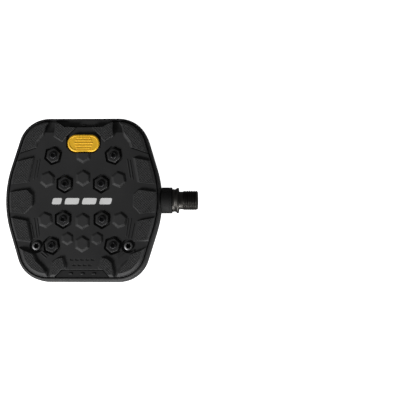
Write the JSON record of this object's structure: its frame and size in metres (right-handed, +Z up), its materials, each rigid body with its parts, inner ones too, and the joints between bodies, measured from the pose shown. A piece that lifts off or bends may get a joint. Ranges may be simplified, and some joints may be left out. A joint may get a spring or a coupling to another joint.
{
  "type": "flat pedal",
  "caption": "Left-hand flat bicycle pedal: composite platform with screwed-on rubber tread pads and grip pins, turning on a steel spindle that threads into the crank.",
  "frame": {"origin": "on the spindle's axis, at the shoulder that meets the crank arm", "axes": "+X along the spindle towards the crank, +Y the platform's front edge, +Z up from the top tread face"},
  "size_m": [0.1368, 0.1164, 0.025],
  "materials": {
    "composite": "moulded glass-filled nylon, fine satin grain",
    "tread_rubber": "matte moulded rubber, knurled lug tops",
    "amber_badge": "amber moulded inlay, satin",
    "pad_print": "white print",
    "sleeve_black": "matte black, turned",
    "seal_rubber": "black nitrile",
    "spindle_steel": "dark plated, machined",
    "bright_steel": "bright machined",
    "pin_steel": "dark oxide with bright wear",
    "bushing_polymer": "moulded polymer",
    "spacer_aluminium": "drawn tube",
    "brass": "turned"
  },
  "bodies": {
    "spindle": {"spindle": "spindle_steel", "bearing_inner_race": "bright_steel", "lock_washer": "bright_steel", "lock_nut": "pin_steel"},
    "ball_set": {"ball_cage": "brass", "bearing_ball_1": "bright_steel", "bearing_ball_2": "bright_steel", "bearing_ball_3": "bright_steel", "bearing_ball_4": "bright_steel", "bearing_ball_5": "bright_steel", "bearing_ball_6": "bright_steel", "bearing_ball_7": "bright_steel", "bearing_ball_8": "bright_steel"},
    "platform": {"platform_body": "composite", "tread_pad_top": "tread_rubber", "tread_pad_bottom": "tread_rubber", "badge_top": "amber_badge", "badge_bottom": "amber_badge", "retaining_sleeve": "sleeve_black", "lip_seal": "seal_rubber", "plain_bushing": "bushing_polymer", "spacer_tube": "spacer_aluminium", "bearing_outer_race": "bright_steel", "bearing_shield_inboard": "seal_rubber", "bearing_shield_outboard": "seal_rubber", "pad_screw_top_1": "bright_steel", "pad_screw_top_2": "bright_steel", "screw_insert_top_1": "brass", "screw_insert_top_2": "brass", "grip_pin_top_1": "pin_steel", "grip_pin_top_2": "pin_steel", "grip_pin_top_3": "pin_steel", "grip_pin_top_4": "pin_steel", "grip_pin_top_5": "pin_steel", "grip_pin_top_6": "pin_steel", "grip_pin_top_7": "pin_steel", "grip_pin_top_8": "pin_steel", "pad_screw_bottom_1": "bright_steel", "pad_screw_bottom_2": "bright_steel", "screw_insert_bottom_1": "brass", "screw_insert_bottom_2": "brass", "grip_pin_bottom_1": "pin_steel", "grip_pin_bottom_2": "pin_steel", "grip_pin_bottom_3": "pin_steel", "grip_pin_bottom_4": "pin_steel", "grip_pin_bottom_5": "pin_steel", "grip_pin_bottom_6": "pin_steel", "grip_pin_bottom_7": "pin_steel", "grip_pin_bottom_8": "pin_steel"}
  },
  "joints": [
    {"name": "platform_spin", "type": "hinge", "parent": "spindle", "child": "platform", "pos_m": [0, 0, 0], "axis": [1, 0, 0], "continuous": true},
    {"name": "ball_set_spin", "type": "hinge", "parent": "spindle", "child": "ball_set", "pos_m": [0, 0, 0], "axis": [1, 0, 0], "continuous": true}
  ],
  "couplings": [
    {"joint": "ball_set_spin", "follows": "platform_spin", "ratio": 0.605}
  ]
}
